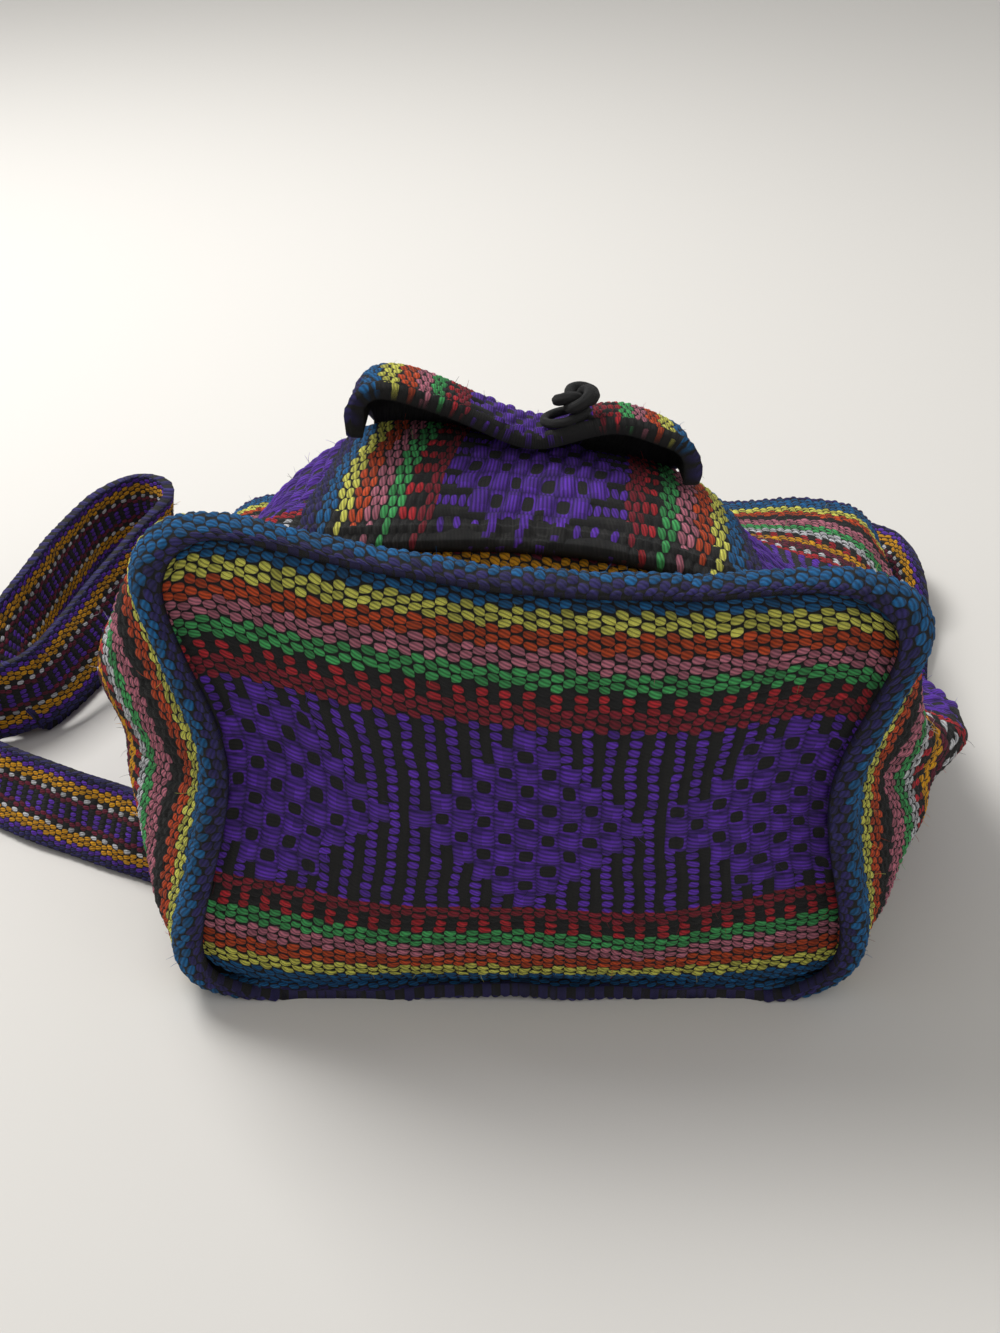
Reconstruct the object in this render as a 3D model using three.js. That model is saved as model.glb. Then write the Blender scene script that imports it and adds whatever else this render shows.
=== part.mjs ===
// A small hand-woven backpack that lies on its back, with its base towards -Y and its mouth towards +Y.
// Millimetres, +Z up, the surface that it rests on at z = 0. The pieces are worked out with y = 0 at the
// base seam, and the group then puts the origin at the middle of the back.
import * as THREE from 'three';

const clothThickness = 2.6;
const ribHeight = 0.5;
const clearance = 0.3;
const seatClearance = 1.2;
const rowPitch = 2.25;
const pickPitch = 2.667;

const baseWidth = 160;
const baseDepth = 105;
const bagLength = 196;
const clothHeight = 207;
const bellyHeight = 97;
const chestHeight = 92;
const valleyHeight = 85;
const mouthDepth = 29;
const mouthHalfLeft = 97;
const mouthHalfRight = 121;

const selvedgeLap = 6;
const baseLean = 9;
const baseTwist = 7;
const endBow = 3;
const baseBulge = 8;

const leftFlare = 13;
const rightFlare = 20;
const leftWaist = 9;
const rightWaist = 14;
const creaseDepth = 5;
const creaseHalfWidth = 9;

const pocketRise = 47.5;
const pocketHeight = 40;
const pocketWidth = 108;
const pocketMouthWidth = 96;
const pocketBulge = 2.5;
const pocketMouthGap = 3;
const pocketShift = 6;
const hemArch = 5;
const hemRoll = 4;

const flapSetBack = 6;
const flapReach = 24;
const flapWidth = 75;
const flapShift = 0;
const flapLeftRise = 21;
const flapMiddleRise = 11.5;
const flapRightRise = 18;
const flapLeftCornerRise = 10;
const flapRightCornerRise = 7.5;

// Knots and loops: how far aside of the middle of their flap, and at what share of its length.
const pocketKnotAside = -21;
const pocketLoopAside = -15;
const pocketKnotShare = 0.8;
const mainKnotAside = -6;
const mainKnotShare = 0.93;

const mainFlapReach = 62;
const mainFlapWrap = 22;
const mainFlapLoft = 4;

const strapWidth = 22;
const strapThickness = 3;
const strapCrown = 0.5;

const cordRadius = 1.1;
const loopHalfLength = 8;
const loopHalfWidth = 3.5;
const knotRadius = 3.2;
const knotCordRadius = 1.5;
const knotFlatness = 0.8;

const indigo = 0x2a1d55;
const blue = 0x0e4f7d;
const yellow = 0xd6d45a;
const orange = 0xb4401c;
const pink = 0xb06a78;
const green = 0x3f9a55;
const white = 0xcfcfd2;
const red = 0xa81f28;
const crimson = 0x7a1626;
const purple = 0x4a1f86;
const black = 0x15130f;
const gold = 0xd99a0f;
const burgundy = 0x6b1530;

// The band that the base, the pocket and both flaps are cut from, as colours and rows of weave across it.
const bandStripe = [[blue, 2], [yellow, 2], [orange, 2], [pink, 2], [green, 2], [red, 2], [crimson, 2]];
const bandEdge = [[indigo, 2], ...bandStripe];
const fieldRows = 22;
const diamondPicks = 24;
const bandStripes = [...bandEdge, [purple, fieldRows], ...[...bandEdge].reverse()];

// The cloth of the bag itself, from the base seam to the middle of its height.
const wrapEdge = [
  [indigo, 1], [blue, 3], [yellow, 2], [orange, 2], [black, 2], [pink, 3], [green, 2], [white, 2],
  [red, 2], [gold, 2], [burgundy, 2], [white, 2], [red, 2],
];

const countRows = (stripes) => stripes.reduce((sum, [, rows]) => sum + rows, 0);
const bandWidth = countRows(bandStripes) * rowPitch;
const panelDepth = (2 * countRows(bandStripe) + fieldRows) * rowPitch;
const wrapField = [[purple, clothHeight / rowPitch - 2 * countRows(wrapEdge)]];
const wrapStripes = [...wrapEdge, ...wrapField, ...[...wrapEdge].reverse()];
const halfBase = baseWidth / 2;
const halfCloth = clothThickness / 2;

const sectionSamples = 280;
const ringColumns = 96;
const lengthRows = 80;
const frontColumns = 28;
const flatBackShare = 0.12;

function mix(a, b, t) {
  return a + (b - a) * t;
}

// Places equally spaced points along a line of points.
function respace(points, count) {
  const lengths = [0];
  for (let i = 1; i < points.length; i += 1) {
    lengths.push(lengths[i - 1] + points[i].distanceTo(points[i - 1]));
  }
  const total = lengths[points.length - 1];
  const result = [];
  let k = 0;
  for (let i = 0; i <= count; i += 1) {
    const target = (total * i) / count;
    while (k < points.length - 2 && lengths[k + 1] < target) {
      k += 1;
    }
    const t = (target - lengths[k]) / (lengths[k + 1] - lengths[k]);
    result.push(points[k].clone().lerp(points[k + 1], t));
  }
  return result;
}

// How far the base seam stands back from y = 0 at a place on the base.
function rimStand(x, z) {
  const t = z / baseDepth;
  return (baseLean - (baseTwist * x) / halfBase) * t * t - endBow * Math.sin(Math.PI * Math.min(t, 1));
}

// One cross-section of the bag. Pairs are left and right: the half-widths low down, then how much wider the
// bag is at its waist and at its shoulder. The front has five heights, from left to right.
function section(at, sides, waists, shoulders, front, corner) {
  return { at, sides, waists, shoulders, front, corner, bottom: halfCloth, forward: 0 };
}

// Fourteen points round a section, from the middle of the back, up the left side and over the front.
function sectionPoints({ at, sides, waists, shoulders, front, corner, bottom, forward }) {
  const waistShare = 0.57;
  const inner = 0.42;
  const [left, right] = sides;
  const [leftTop, rightTop] = [left + shoulders[0], right + shoulders[1]];
  const outline = [
    [0, bottom],
    [-left + corner, bottom],
    [-left, bottom + corner],
    [-left - waists[0], mix(bottom, front[0], waistShare)],
    [-leftTop, front[0] - corner],
    [-leftTop + corner * 0.9, front[0]],
    [-left * inner, front[1]],
    [0, front[2]],
    [right * inner, front[3]],
    [rightTop - corner * 0.9, front[4]],
    [rightTop, front[4] - corner],
    [right + waists[1], mix(bottom, front[4], waistShare)],
    [right, bottom + corner],
    [right - corner, bottom],
  ];
  const fade = 1 - at / bagLength;
  return outline.map(([x, z]) => new THREE.Vector3(x, at + rimStand(x, z) * fade - forward, z));
}

// The same section drawn in at its sides, top and bottom, and moved towards the viewer of the base.
function drawnIn(source, side, edge, forward) {
  return {
    ...source,
    sides: source.sides.map((half) => half - side),
    front: source.front.map((height) => height - edge),
    bottom: source.bottom + edge,
    forward,
  };
}

const over = (height, offsets) => offsets.map((offset) => height + offset);
const seam = section(0, [halfBase, halfBase], [-9, -6.5], [3.5, 4.5],
  over(baseDepth, [11, 7, 3.5, 3.7, 5.5]), 9);
const lapForward = clothThickness + ribHeight + seatClearance + 0.3;
const leftSide = (share) => halfBase + leftFlare * share;
const rightSide = (share) => halfBase + rightFlare * share;
const bagSections = [
  drawnIn(seam, selvedgeLap, 1.8, lapForward),
  drawnIn(seam, 1.6, 0.9, lapForward - 0.6),
  seam,
  section(12, [leftSide(0.45), rightSide(0.3)], [-3, 1], [4, 0], over(baseDepth, [2, -6, -10, -10, -8]), 14),
  section(26, [leftSide(0.7), rightSide(0.6)], [leftWaist * 0.4, rightWaist * 0.6], [8, 0],
    over(valleyHeight, [11, 3, 1, 1, -1]), 20),
  section(40, [leftSide(0.9), rightSide(0.8)], [leftWaist * 0.9, rightWaist], [9, -1],
    over(bellyHeight, [-6, -1, -2, -6, -18]), 24),
  section(65, [leftSide(1), rightSide(1)], [leftWaist, rightWaist], [7, 0],
    over(bellyHeight, [-18, 2, 0, -8, -32]), 26),
  section(100, [leftSide(1.15), rightSide(1.3)], [leftWaist * 0.6, rightWaist * 0.6], [2, 0],
    over(chestHeight, [-30, 5, 0, -12, -46]), 21),
  section(140, [mouthHalfLeft + 1, mouthHalfRight - 8], [4, 5], [0, 0],
    over(mouthDepth, [15, 38, 34, 22, 8]), 16),
  section(172, [mouthHalfLeft + 1, mouthHalfRight - 2], [1, 2], [0, 0],
    over(mouthDepth, [6, 11, 12, 7, 3]), 12),
  section(bagLength, [mouthHalfLeft, mouthHalfRight], [0, 0], [0, 0], over(mouthDepth, [2, 1, 0, 0, 0]), 11),
];

function bagRing(source) {
  const curve = new THREE.CatmullRomCurve3(sectionPoints(source), true, 'centripetal');
  const samples = curve.getPoints(sectionSamples);
  const middle = sectionSamples / 2;
  const leftHalf = respace(samples.slice(0, middle + 1), ringColumns / 2);
  const rightHalf = respace(samples.slice(middle), ringColumns / 2);
  return [...leftHalf.slice(0, -1), ...rightHalf];
}

// Folds pinched into the gussets, each a groove that fades out behind the base.
function pinch(point) {
  const side = Math.sign(point.x);
  const groove = side > 0 ? 62 - point.y * 0.7 : 60 - point.y * 0.3;
  const across = (point.z - groove) / creaseHalfWidth;
  const reach = THREE.MathUtils.smoothstep(Math.abs(point.x), 55, 78);
  const fade = 1 - THREE.MathUtils.smoothstep(point.y, 40, 75);
  const start = THREE.MathUtils.smoothstep(point.y, 0, 12);
  const depth = side > 0 ? creaseDepth : creaseDepth * 0.5;
  point.x -= side * depth * Math.exp(-across * across) * fade * start * reach;
}

function bagSurface() {
  const rings = bagSections.map(bagRing);
  const columns = [];
  for (let j = 0; j <= ringColumns; j += 1) {
    const curve = new THREE.CatmullRomCurve3(rings.map((ring) => ring[j]), false, 'centripetal');
    columns.push(respace(curve.getPoints((rings.length - 1) * 24), lengthRows));
  }
  for (const point of columns.flat()) {
    pinch(point);
    point.z = Math.max(point.z, halfCloth);
  }
  return columns;
}

const bagColumns = bagSurface();

// A place on the middle of the bag's cloth: round is 0 to 1 from the middle of the back up the left side,
// along is the distance over the cloth from its edge on the base.
function bagPoint(round, along) {
  const u = THREE.MathUtils.euclideanModulo(round, 1) * ringColumns;
  const v = THREE.MathUtils.clamp((along / clothHeight) * lengthRows, 0, lengthRows);
  const j = Math.min(Math.floor(u), ringColumns - 1);
  const i = Math.min(Math.floor(v), lengthRows - 1);
  const near = bagColumns[j][i].clone().lerp(bagColumns[j + 1][i], u - j);
  const far = bagColumns[j][i + 1].clone().lerp(bagColumns[j + 1][i + 1], u - j);
  return near.lerp(far, v - i);
}

function bagNormal(round, along) {
  const step = 1 / ringColumns;
  const reach = clothHeight / lengthRows;
  const across = bagPoint(round + step, along).sub(bagPoint(round - step, along));
  const forward = bagPoint(round, along + reach).sub(bagPoint(round, along - reach));
  return across.cross(forward).normalize();
}

function liftedBagPoint(round, along, lift) {
  return bagPoint(round, along).addScaledVector(bagNormal(round, along), lift);
}

// The distance over the cloth from the middle of the back to the middle of the front, on one side.
function halfGirth(side, along) {
  const i = Math.round(THREE.MathUtils.clamp(along / clothHeight, 0, 1) * lengthRows);
  const first = side < 0 ? 0 : ringColumns / 2;
  let girth = 0;
  for (let j = first; j < first + ringColumns / 2; j += 1) {
    girth += bagColumns[j][i].distanceTo(bagColumns[j + 1][i]);
  }
  return girth;
}

// A place over the front face, given by the distance across from its middle line and along from the base.
function frontPoint(across, along, lift) {
  const round = 0.5 + (0.5 * across) / halfGirth(across, along);
  return liftedBagPoint(round, along, lift);
}

// Rows across a striped cloth: a low dark line at each edge of a stripe and a raised crest in its middle.
function stripeStops(stripes) {
  const stops = [];
  let at = 0;
  for (const [colour, rows] of stripes) {
    stops.push({ at, lift: 0, colour: black });
    stops.push({ at: at + (rows * rowPitch) / 2, lift: ribHeight, colour });
    at += rows * rowPitch;
  }
  stops.push({ at, lift: 0, colour: black });
  return stops;
}

// The rows of the figured middle: blocks two rows high that stand up where the purple thread floats.
function floatLift(pick, blockRow) {
  const fromMiddle = Math.abs(blockRow - (fieldRows / 2 - 1) / 2);
  const half = diamondPicks / 2;
  const acrossDiamond = Math.abs(THREE.MathUtils.euclideanModulo(pick + half, diamondPicks) - half);
  const inDiamond = acrossDiamond / 2 + fromMiddle < fieldRows / 4 + 0.5;
  const parity = (Math.round(pick / 2) + Math.round(blockRow)) % 2;
  return inDiamond && parity === 0 ? ribHeight : 0;
}

function clothMaterial() {
  return new THREE.MeshStandardMaterial({ vertexColors: true, roughness: 0.95, metalness: 0 });
}

function cordMaterial() {
  return new THREE.MeshStandardMaterial({ color: black, roughness: 0.95, metalness: 0 });
}

function range(count) {
  return Array.from({ length: count + 1 }, (_, i) => i / count);
}

// A closed solid that is built from rows of points, with one colour to each point.
class Solid {
  constructor() {
    this.positions = [];
    this.colours = [];
    this.faces = [];
  }

  // Nothing reaches below the surface that the bag rests on.
  addRow(points, colours) {
    return points.map((point, i) => {
      this.positions.push(point.x, point.y, Math.max(point.z, 0));
      const colour = new THREE.Color(Array.isArray(colours) ? colours[i] : colours);
      this.colours.push(colour.r, colour.g, colour.b);
      return this.positions.length / 3 - 1;
    });
  }

  // Joins two rows, of any two counts, with a strip of triangles.
  bridge(a, b) {
    let i = 0;
    let j = 0;
    while (i < a.length - 1 || j < b.length - 1) {
      const nextA = (i + 1) / (a.length - 1);
      const nextB = (j + 1) / (b.length - 1);
      if (j === b.length - 1 || (i < a.length - 1 && nextA <= nextB)) {
        this.faces.push(a[i], a[i + 1], b[j]);
        i += 1;
      } else {
        this.faces.push(a[i], b[j + 1], b[j]);
        j += 1;
      }
    }
  }

  // Bridges the face rows, the lining rows and the edges between them. Closed rows meet themselves.
  closeCloth(face, lining, closed) {
    const wrap = (row) => (closed ? [...row, row[0]] : row);
    const faceRows = face.map(wrap);
    const liningRows = lining.map(wrap);
    for (let r = 1; r < faceRows.length; r += 1) {
      this.bridge(faceRows[r - 1], faceRows[r]);
    }
    for (let r = 1; r < liningRows.length; r += 1) {
      this.bridge(liningRows[r], liningRows[r - 1]);
    }
    this.bridge(liningRows[0], faceRows[0]);
    this.bridge(faceRows.at(-1), liningRows.at(-1));
    if (!closed) {
      this.bridge(faceRows.map((row) => row[0]), liningRows.map((row) => row[0]));
      this.bridge(liningRows.map((row) => row.at(-1)), faceRows.map((row) => row.at(-1)));
    }
  }

  mesh(name, material) {
    const geometry = new THREE.BufferGeometry();
    geometry.setAttribute('position', new THREE.Float32BufferAttribute(this.positions, 3));
    geometry.setAttribute('color', new THREE.Float32BufferAttribute(this.colours, 3));
    geometry.setIndex(this.faces);
    geometry.computeVertexNormals();
    const result = new THREE.Mesh(geometry, material);
    result.name = name;
    return result;
  }
}

// The rows of the bag's own cloth, with its plain middle in equal steps.
function wrapStops() {
  const fieldSteps = 7;
  const edge = stripeStops(wrapEdge);
  const edgeHeight = countRows(wrapEdge) * rowPitch;
  const field = range(fieldSteps).slice(1, -1).map((t) => {
    return { at: mix(edgeHeight, clothHeight - edgeHeight, t), lift: ribHeight, colour: purple };
  });
  const mirrored = [...edge].reverse().map((stop) => ({ ...stop, at: clothHeight - stop.at }));
  return [...edge, ...field, ...mirrored];
}

// The lining's rows lie close together at the folded lap and behind the base, and further apart after that.
function liningPlaces() {
  const lap = range(4).map((t) => t * selvedgeLap * 2);
  const valley = range(7).slice(1).map((t) => mix(lap.at(-1), pocketRise, t));
  const rest = range(7).slice(1).map((t) => mix(pocketRise, clothHeight, t));
  return [...lap, ...valley, ...rest];
}

// The tube of cloth that makes the front, back and both gussets. Its back is pressed flat where it rests.
function bodyWrap() {
  const solid = new Solid();
  const bent = range(frontColumns).map((t) => mix(flatBackShare, 1 - flatBackShare, t));
  const rounds = [0, flatBackShare / 2, ...bent, 1 - flatBackShare / 2];
  const face = wrapStops().map(({ at, lift, colour }) => {
    const points = rounds.map((round) => liftedBagPoint(round, at, halfCloth + lift));
    return solid.addRow(points, colour);
  });
  const lining = liningPlaces().map((along) => {
    const points = rounds.map((round) => liftedBagPoint(round, along, -halfCloth));
    return solid.addRow(points, black);
  });
  solid.closeCloth(face, lining, true);
  return solid.mesh('body_wrap', clothMaterial());
}

const panelInset = clothThickness + seatClearance;
const panelColumns = Math.round(baseWidth / pickPitch / 2);
const panelRows = 100;

// The base panel fills the seam outline, inside the lap of the bag's own cloth: columns of points, each from
// the bottom edge to the top edge of the base.
function panelSurface() {
  const outline = sectionPoints(drawnIn(seam, panelInset, panelInset, 0));
  const ring = new THREE.CatmullRomCurve3(outline, true, 'centripetal');
  const place = (index) => ring.getPoint(THREE.MathUtils.euclideanModulo(index / outline.length, 1));
  const edge = (from, to, count) => {
    const samples = range(60).map((t) => place(mix(from, to, t)));
    return respace(samples, count);
  };
  const [lowLeft, highLeft, highRight, lowRight] = [1.5, 4.5, 9.5, 12.5];
  const bottom = edge(lowLeft, lowRight - outline.length, panelColumns);
  const top = edge(highLeft, highRight, panelColumns);
  const leftEdge = edge(lowLeft, highLeft, panelRows);
  const rightEdge = edge(lowRight, highRight, panelRows);
  return range(panelColumns).map((u, j) => {
    const sideShare = THREE.MathUtils.smoothstep(Math.min(u, 1 - u), 0.03, 0.33);
    const points = range(panelRows).map((v, i) => {
      const point = bottom[j].clone().multiplyScalar(1 - v).addScaledVector(top[j], v);
      point.addScaledVector(leftEdge[i], 1 - u).addScaledVector(rightEdge[i], u);
      point.addScaledVector(bottom[0], -(1 - u) * (1 - v)).addScaledVector(bottom.at(-1), -u * (1 - v));
      point.addScaledVector(top[0], -(1 - u) * v).addScaledVector(top.at(-1), -u * v);
      point.y -= baseBulge * sideShare * (1 - (2 * v - 1) ** 4);
      return point;
    });
    return respace(points, panelRows);
  });
}

const panelGrid = panelSurface();

function basePanelPoint(u, v, lift) {
  const column = Math.min(Math.floor(u * panelColumns), panelColumns - 1);
  const row = Math.min(Math.floor(v * panelRows), panelRows - 1);
  const [acrossShare, upShare] = [u * panelColumns - column, v * panelRows - row];
  const low = panelGrid[column][row].clone().lerp(panelGrid[column + 1][row], acrossShare);
  const high = panelGrid[column][row + 1].clone().lerp(panelGrid[column + 1][row + 1], acrossShare);
  const point = low.lerp(high, upShare);
  point.y -= lift;
  return point;
}

function bottomPanel() {
  const solid = new Solid();
  const edges = stripeStops(bandStripe);
  const mirrored = [...edges].reverse().map((stop) => ({ ...stop, at: panelDepth - stop.at }));
  const plainRow = ({ at, lift, colour }) => {
    const points = range(14).map((u) => basePanelPoint(u, at / panelDepth, halfCloth + lift));
    return solid.addRow(points, colour);
  };
  const figured = range(fieldRows / 2 - 1).map((t, blockRow) => {
    const v = ((countRows(bandStripe) + blockRow * 2 + 1) * rowPitch) / panelDepth;
    const lifts = range(panelColumns).map((u, i) => floatLift((i - panelColumns / 2) * 2, blockRow));
    const points = range(panelColumns).map((u, i) => basePanelPoint(u, v, halfCloth + lifts[i]));
    return solid.addRow(points, lifts.map((lift) => (lift > 0 ? purple : black)));
  });
  const face = [...edges.map(plainRow), ...figured, ...mirrored.map(plainRow)];
  const lining = range(6).map((v) => {
    const points = range(8).map((u) => basePanelPoint(u, v, -halfCloth));
    return solid.addRow(points, black);
  });
  solid.closeCloth(face, lining, false);
  return solid.mesh('bottom_panel', clothMaterial());
}

// A point off the face of a band whose middle is given by place, for a distance across and a share of length.
function bandPoint(place, across, t, lift) {
  const step = 0.01;
  const centre = place(across, t);
  const side = place(across + 0.5, t).sub(place(across - 0.5, t));
  const onward = place(across, Math.min(t + step, 1)).sub(place(across, Math.max(t - step, 0)));
  return centre.addScaledVector(side.cross(onward).normalize(), lift);
}

// A length of striped band, its stripes running along its length, with faceSteps the places of its rows.
function bandPiece(name, place, faceSteps, rolledEnd) {
  const solid = new Solid();
  const stops = stripeStops(bandStripes);
  const face = faceSteps.map((t) => {
    const points = stops.map(({ at, lift }) => bandPoint(place, at - bandWidth / 2, t, halfCloth + lift));
    const rolled = Math.abs(t - rolledEnd.at) < rolledEnd.share;
    return solid.addRow(points, stops.map(({ colour }) => (rolled ? black : colour)));
  });
  const lining = range(4).map((t) => {
    const points = range(9).map((u) => bandPoint(place, (u - 0.5) * bandWidth, t, -halfCloth));
    return solid.addRow(points, black);
  });
  solid.closeCloth(face, lining, false);
  return solid.mesh(name, clothMaterial());
}

const seatLift = clothThickness + ribHeight + seatClearance;
const cordLift = halfCloth + ribHeight + clearance * 2 + cordRadius;

// The pocket is sewn down at its sides and hem and swells to an open mouth.
function pocketPlace(across, t) {
  const share = (2 * across) / bandWidth;
  const rise = 1 - (1 - t) ** 3;
  const swell = (pocketMouthGap + pocketBulge * Math.sin(Math.PI * t)) * rise * (1 - Math.abs(share) ** 5);
  const aside = (share * mix(pocketWidth, pocketMouthWidth, t)) / 2 + pocketShift * t;
  const along = pocketRise + t * pocketHeight - hemArch * share * share * (1 - t);
  return frontPoint(aside, along, seatLift + swell);
}

// How high the free edge of the pocket's flap stands, across its width from right to left.
const flapRises = new THREE.CatmullRomCurve3([
  new THREE.Vector3(-1, flapRightCornerRise, 0),
  new THREE.Vector3(-0.95, flapRightRise * 0.75, 0),
  new THREE.Vector3(-0.84, flapRightRise * 0.92, 0),
  new THREE.Vector3(-0.6, flapRightRise, 0),
  new THREE.Vector3(0, flapMiddleRise, 0),
  new THREE.Vector3(0.6, flapLeftRise * 0.85, 0),
  new THREE.Vector3(0.86, flapLeftRise, 0),
  new THREE.Vector3(0.96, flapLeftRise * 0.86, 0),
  new THREE.Vector3(1, flapLeftCornerRise, 0),
], false, 'centripetal');

// The pocket's flap starts behind the pocket's mouth, stands up and comes forward over it. It runs towards
// the base, so its width counts from right to left.
function flapPlace(across, t) {
  const share = THREE.MathUtils.clamp((2 * across) / bandWidth, -1, 1);
  const root = pocketRise + pocketHeight + flapSetBack;
  const stops = flapRises.points;
  let k = 0;
  while (k < stops.length - 2 && stops[k + 1].x < share) {
    k += 1;
  }
  const step = (share - stops[k].x) / (stops[k + 1].x - stops[k].x);
  const rise = flapRises.getPoint((k + step) / (stops.length - 1)).y;
  const aside = flapShift - (share * flapWidth) / 2;
  return frontPoint(aside, root - t * flapReach, seatLift + rise * (1 - (1 - t) ** 5));
}

// The bag's own flap starts at the back edge of the mouth, turns up past it and lies on the front.
function mainFlapPlace(across, t) {
  const wrapShare = mainFlapWrap / (mainFlapWrap + mainFlapReach);
  const back = bagPoint((0.5 * across) / halfGirth(-across, clothHeight), clothHeight);
  const front = frontPoint(-across, clothHeight, seatLift);
  if (t < wrapShare) {
    const angle = (t / wrapShare) * Math.PI;
    const radius = (front.z - back.z) / 2;
    const out = seatClearance / 2 + (halfCloth + mainFlapLoft) * Math.sin(angle / 2) * Math.cos(angle / 4);
    const along = mix(back.y, front.y, t / wrapShare) + out;
    const height = mix(back.z, front.z, 0.5) - radius * Math.cos(angle);
    return new THREE.Vector3(mix(back.x, front.x, t / wrapShare), along, height);
  }
  const lain = (t - wrapShare) / (1 - wrapShare);
  const point = frontPoint(-across, clothHeight - lain * mainFlapReach, seatLift);
  const out = seatClearance / 2 + (halfCloth + mainFlapLoft) * Math.SQRT1_2;
  point.y += out * (1 - lain);
  return point;
}

// A strap is a flat band along a route. Each stop of a route is a place measured from the line between the
// strap's two sewn ends, its height over the table, and the direction of the band's top edge.
function strap(name, route, start, end) {
  const solid = new Solid();
  const stops = route.map(([x, y, z], i) => {
    const base = start.clone().lerp(end, i / (route.length - 1));
    return new THREE.Vector3(base.x + x, base.y + y, z);
  });
  const middles = new THREE.CatmullRomCurve3(stops, false, 'centripetal');
  const leans = route.map(([, , , x, y, z]) => new THREE.Vector3(x, y, z));
  const tops = new THREE.CatmullRomCurve3(leans, false, 'centripetal');
  const halfWidth = strapWidth / 2;
  const halfThick = strapThickness / 2;
  const edge = [indigo, gold].map((colour, i) => [i * 0.45 - 1, i * strapCrown, colour]);
  const marks = [...edge, [0, strapCrown, purple], ...edge.map(([w, ...rest]) => [-w, ...rest]).reverse()];
  const back = marks.map(([w, crown, colour]) => [w * halfWidth, -halfThick - crown, colour]);
  const front = marks.map(([w, crown, colour]) => [w * halfWidth, halfThick + crown, colour]).reverse();
  const profile = [...back, ...front];
  const rows = range((route.length - 1) * 2).map((t) => {
    const onward = middles.getTangent(t);
    const up = tops.getPoint(t);
    up.addScaledVector(onward, -up.dot(onward)).normalize();
    const face = up.clone().cross(onward).normalize();
    const middle = middles.getPoint(t);
    const points = profile.map(([w, h]) => middle.clone().addScaledVector(up, w).addScaledVector(face, h));
    return solid.addRow(points, profile.map(([, , colour]) => colour));
  });
  const loops = rows.map((row) => [...row, row[0]]);
  for (let r = 1; r < loops.length; r += 1) {
    solid.bridge(loops[r], loops[r - 1]);
  }
  const last = profile.length - 1;
  for (let k = 0; k < marks.length - 1; k += 1) {
    const corners = [k, k + 1, last - k - 1, last - k];
    const [a, b, c, d] = corners.map((corner) => rows[0][corner]);
    solid.faces.push(a, b, c, a, c, d);
    const [e, f, g, h] = corners.map((corner) => rows.at(-1)[corner]);
    solid.faces.push(e, g, f, e, h, g);
  }
  return solid.mesh(name, clothMaterial());
}

// The left strap leaves the lower corner of the bag, stands on its edge, makes two turns and comes back flat.
const leftStrapRoute = [
  [-14, -6, 11, 0, 0.4, 1],
  [-24.5, -5.5, 10.7, 0, 0.5, 1],
  [-38, -3.5, 10.7, 0, 0.55, 1],
  [-52.5, -1, 10.7, 0, 0.6, 1],
  [-67, 2.5, 11, -0.1, 0.5, 1],
  [-79.5, 6.5, 11.4, -0.4, 0.3, 1],
  [-84, 11, 12, -0.5, 0, 1],
  [-77.5, 14.5, 13, -0.5, 0, 1],
  [-66, 14.5, 13.4, -0.6, -0.1, 1],
  [-56, 17, 14.5, -0.6, -0.1, 1],
  [-47.5, 28, 17.5, -0.6, 0, 1],
  [-40, 40.5, 22, -0.5, 0, 1],
  [-32.5, 54, 26, -0.3, 0.1, 1],
  [-28, 65, 29, 0, 0.2, 1],
  [-30.5, 70.5, 30, 0, 0.2, 1],
  [-39, 70, 29, 0, 0.1, 1],
  [-49.5, 58, 26.5, -0.1, 0, 1],
  [-57, 34.5, 23, -0.2, 0, 1],
  [-61.5, 9, 20, -0.3, 0, 1],
  [-65, -14, 16, -0.6, 0, 0.8],
  [-65.5, -34.5, 10.5, -0.9, 0, 0.5],
  [-64, -48, 6.2, -1, 0, 0.1],
  [-62, -55.5, 4.2, -1, 0, 0],
  [-59.5, -57.5, 2.2, -1, 0, 0],
  [-54, -52.5, 2, -1, 0.2, 0],
  [-47.5, -42, 2, -0.95, 0.3, 0],
  [-39, -30.5, 2, -0.9, 0.45, 0],
  [-27.5, -18.5, 2, -0.85, 0.5, 0],
  [-12, -7, 2, -0.8, 0.6, 0],
];

// The right strap runs beside the other gusset and folds back on itself behind the mouth.
const rightStrapRoute = [
  [12, -11.5, 11.5, 0.5, 0, 1],
  [18.5, -3.5, 9.6, 0.85, 0, 0.7],
  [23, 8.5, 6.2, 1, 0, 0.4],
  [26.5, 22.5, 3.2, 1, 0, 0.1],
  [30, 36.5, 2.4, 1, 0, 0],
  [34.5, 52.5, 2.4, 1, 0, 0],
  [39, 68.5, 4, 1, 0.1, 0.25],
  [41, 79.5, 7, 0.7, 0.3, 0.8],
  [38, 88.5, 8, 0.55, 0.6, 0.6],
  [27.5, 94.5, 7, 0.4, 0.9, 0.3],
  [11, 96, 6, 0.2, 1, 0],
  [-10.5, 94, 5.8, 0, 1, 0],
  [-41, 90, 5.8, 0, 1, 0],
  [-71.5, 84, 5.8, 0, 1, 0],
  [-92, 78, 5.8, 0, 1, 0],
  [-98.5, 72, 5.6, 0, 1, 0],
  [-101.5, 66, 3.9, 0, 1, 0],
  [-99.5, 60, 2.2, 0, 1, 0],
  [-94, 54, 2, 0, 1, 0],
  [-74.5, 48, 2, 0, 1, 0],
  [-45, 40, 2, 0, 1, 0],
  [-15.5, 26, 2, 0.2, 1, 0],
  [-1, 12.5, 2, 0.3, 1, 0],
];

const leftStart = bagPoint(0.16, 58);
const leftEnd = bagPoint(0.22, clothHeight);
const rightStart = bagPoint(0.84, 75);
const rightEnd = bagPoint(0.82, clothHeight);

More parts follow.
